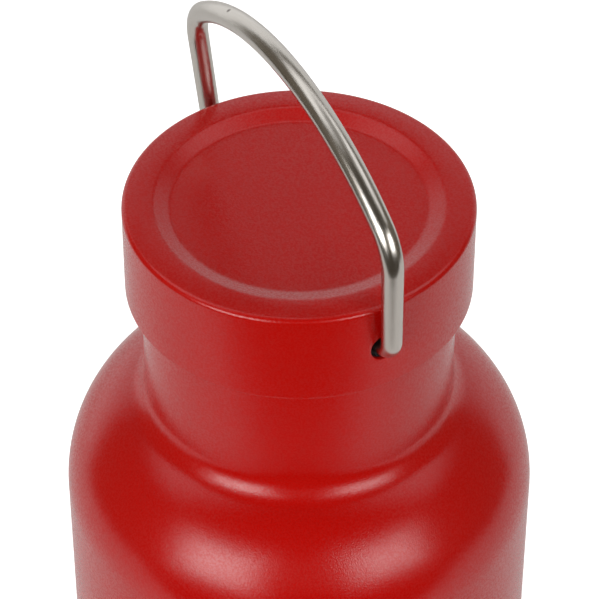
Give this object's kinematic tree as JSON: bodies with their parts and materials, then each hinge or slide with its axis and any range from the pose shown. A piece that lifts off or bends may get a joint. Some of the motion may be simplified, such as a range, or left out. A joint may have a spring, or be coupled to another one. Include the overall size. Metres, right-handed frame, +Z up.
{
  "type": "insulated water bottle",
  "caption": "Tall double-wall steel flask with a rounded shoulder, a narrow neck, a dished screw cap and a swinging wire bail.",
  "frame": {"origin": "middle of the base, on the surface that the bottle stands on", "axes": "+Z up along the bottle; +X along the bail's pivot axis, towards the leg that is near the camera in the picture"},
  "size_m": [0.073, 0.073, 0.2531],
  "materials": {
    "powder_red": "fine-textured powder coat, semi-matt",
    "satin_steel": "satin wire, lightly polished",
    "base_steel": "stamped, fine brushed",
    "disc_steel": "circular brushed",
    "inner_steel": "electropolished, dull",
    "lip_steel": "turned and polished",
    "copper_foil": "bright foil",
    "getter_steel": "dull",
    "solder": "dull bead",
    "black_plastic": "moulded, fine matt",
    "bush_plastic": "moulded, smooth",
    "foam": "closed-cell foam",
    "pad": "adhesive foam tape",
    "silicone": "translucent white silicone"
  },
  "bodies": {
    "bottle": {"outer_shell": "powder_red", "outer_base": "base_steel", "base_disc": "disc_steel", "vacuum_seal": "solder", "inner_vessel": "inner_steel", "inner_base": "inner_steel", "foil_wrap": "copper_foil", "foil_disc": "copper_foil", "getter": "getter_steel", "mouth_ring": "lip_steel"},
    "seal": {"seal_ring": "silicone"},
    "cap": {"cap_shell": "powder_red", "cap_pad": "pad", "cap_frame": "black_plastic", "pivot_bush_near": "bush_plastic", "pivot_bush_far": "bush_plastic", "cap_plug": "black_plastic", "plug_foam": "foam", "plug_plate": "disc_steel"},
    "bail": {"bail": "satin_steel"}
  },
  "joints": [
    {"name": "cap_rise", "type": "slide", "parent": "bottle", "child": "seal", "axis": [0, 0, 1], "range_m": [0, 0.02]},
    {"name": "cap_turn", "type": "hinge", "parent": "seal", "child": "cap", "pos_m": [0, 0, 0.2132], "axis": [0, 0, 1], "range_deg": [0, 1800]},
    {"name": "bail_swing", "type": "hinge", "parent": "cap", "child": "bail", "pos_m": [0, 0, 0.2172], "axis": [1, 0, 0], "range_deg": [-134.9, 127.1]}
  ],
  "couplings": [
    {"joint": "cap_rise", "follows": "cap_turn", "m_per_rad": 0.00063662}
  ]
}
